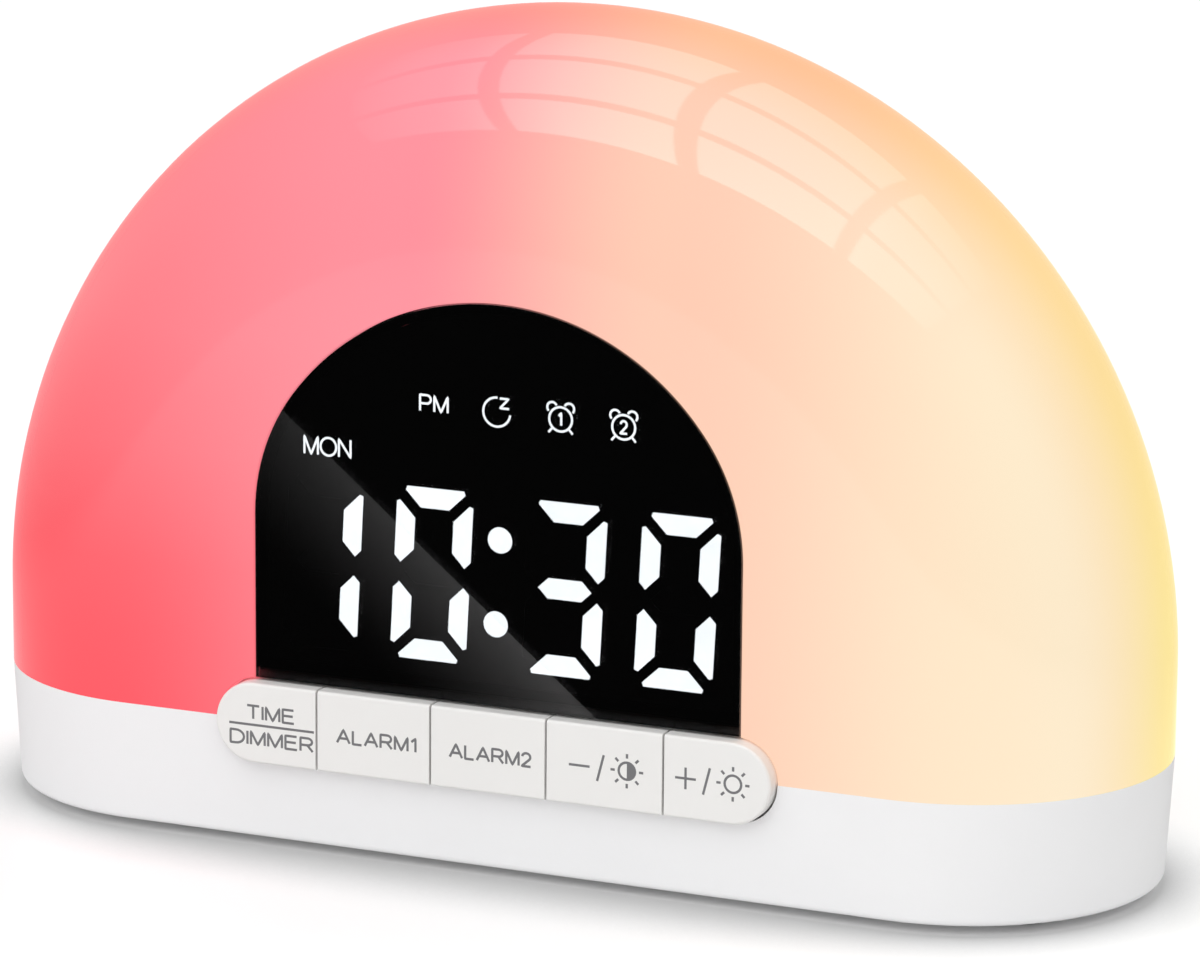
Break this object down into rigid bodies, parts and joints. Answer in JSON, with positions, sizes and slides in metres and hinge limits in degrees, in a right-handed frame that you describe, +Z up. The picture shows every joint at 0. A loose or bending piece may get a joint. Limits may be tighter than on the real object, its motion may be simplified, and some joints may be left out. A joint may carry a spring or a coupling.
{
  "type": "sunrise alarm clock",
  "caption": "Free-standing sunrise alarm clock: frosted half-round lamp dome on a white racetrack base, with an arched smoked display window and a pill-shaped bar of press keys.",
  "frame": {"origin": "centre of the clock on the surface that it stands on", "axes": "+X to the right seen from the front, +Y to the back, +Z up. The display and keys face -Y."},
  "size_m": [0.18, 0.063, 0.122],
  "materials": {
    "diffuser": "frosted translucent polycarbonate, lit from inside",
    "housing": "fine satin moulded ABS",
    "keys": "satin moulded ABS with grey printed legends",
    "window": "polished smoked acrylic",
    "mask": "black printed film",
    "frame": "black moulded ABS",
    "reflector": "white moulded polycarbonate",
    "lit": "white light window, lit",
    "unlit": "light window, dark",
    "rubber": "moulded rubber",
    "screw_steel": "nickel-plated steel",
    "board": "green solder mask",
    "lamp_board": "aluminium core, white solder mask",
    "led": "phosphor under clear resin",
    "grey_plastic": "moulded acetal",
    "black_plastic": "moulded nylon",
    "ivory_plastic": "moulded nylon",
    "capacitor": "drawn can",
    "bright_metal": "nickel-plated pressed steel",
    "magnet": "sintered ferrite",
    "cone": "black pulp",
    "gasket": "closed-cell foam",
    "red_lead": "PVC insulation",
    "yellow_lead": "PVC insulation",
    "ribbon": "polyester film",
    "spring_brass": "plated spring brass"
  },
  "bodies": {
    "casing": {"dome_diffuser": "diffuser", "base_housing": "housing", "bottom_cover": "housing", "rubber_feet": "rubber", "cover_screws": "screw_steel", "dome_screws": "screw_steel", "display_lens": "window", "display_mask": "mask", "display_frame": "frame", "display_reflector": "reflector", "lit_segments": "lit", "dark_segments": "unlit", "colon_dots": "lit", "icon_guides": "lit", "display_board": "board", "display_leds": "led", "display_screws": "screw_steel", "tower_screws": "screw_steel", "display_ribbon": "ribbon", "key_guide": "grey_plastic", "switch_bodies": "black_plastic", "switch_board": "board", "switch_screws": "screw_steel", "main_board": "board", "clock_chip": "black_plastic", "capacitors": "capacitor", "crystal": "bright_metal", "board_connectors": "ivory_plastic", "board_screws": "screw_steel", "usb_shell": "bright_metal", "usb_tongue": "black_plastic", "speaker_basket": "bright_metal", "speaker_cone": "cone", "speaker_magnet": "magnet", "speaker_gasket": "gasket", "speaker_leads": "red_lead", "lamp_board": "lamp_board", "lamp_leds": "led", "lamp_screws": "screw_steel", "lamp_leads": "yellow_lead", "coin_cell": "bright_metal", "cell_contacts": "spring_brass"},
    "time_dimmer_key": {"time_dimmer_key": "keys", "time_dimmer_plunger": "black_plastic"},
    "alarm1_key": {"alarm1_key": "keys", "alarm1_plunger": "black_plastic"},
    "alarm2_key": {"alarm2_key": "keys", "alarm2_plunger": "black_plastic"},
    "minus_key": {"minus_key": "keys", "minus_plunger": "black_plastic"},
    "plus_key": {"plus_key": "keys", "plus_plunger": "black_plastic"},
    "battery_door": {"battery_door": "housing"}
  },
  "joints": [
    {"name": "time_dimmer_press", "type": "slide", "parent": "casing", "child": "time_dimmer_key", "axis": [0, 1, 0], "range_m": [0, 0.0006], "stiffness_N_per_m": 1500, "springref_m": -0.0004},
    {"name": "alarm1_press", "type": "slide", "parent": "casing", "child": "alarm1_key", "axis": [0, 1, 0], "range_m": [0, 0.0006], "stiffness_N_per_m": 1500, "springref_m": -0.0004},
    {"name": "alarm2_press", "type": "slide", "parent": "casing", "child": "alarm2_key", "axis": [0, 1, 0], "range_m": [0, 0.0006], "stiffness_N_per_m": 1500, "springref_m": -0.0004},
    {"name": "minus_press", "type": "slide", "parent": "casing", "child": "minus_key", "axis": [0, 1, 0], "range_m": [0, 0.0006], "stiffness_N_per_m": 1500, "springref_m": -0.0004},
    {"name": "plus_press", "type": "slide", "parent": "casing", "child": "plus_key", "axis": [0, 1, 0], "range_m": [0, 0.0006], "stiffness_N_per_m": 1500, "springref_m": -0.0004},
    {"name": "battery_door_twist", "type": "hinge", "parent": "casing", "child": "battery_door", "pos_m": [-0.048, 0.001, 0.0015], "axis": [0, 0, -1], "range_deg": [0, 50]}
  ]
}
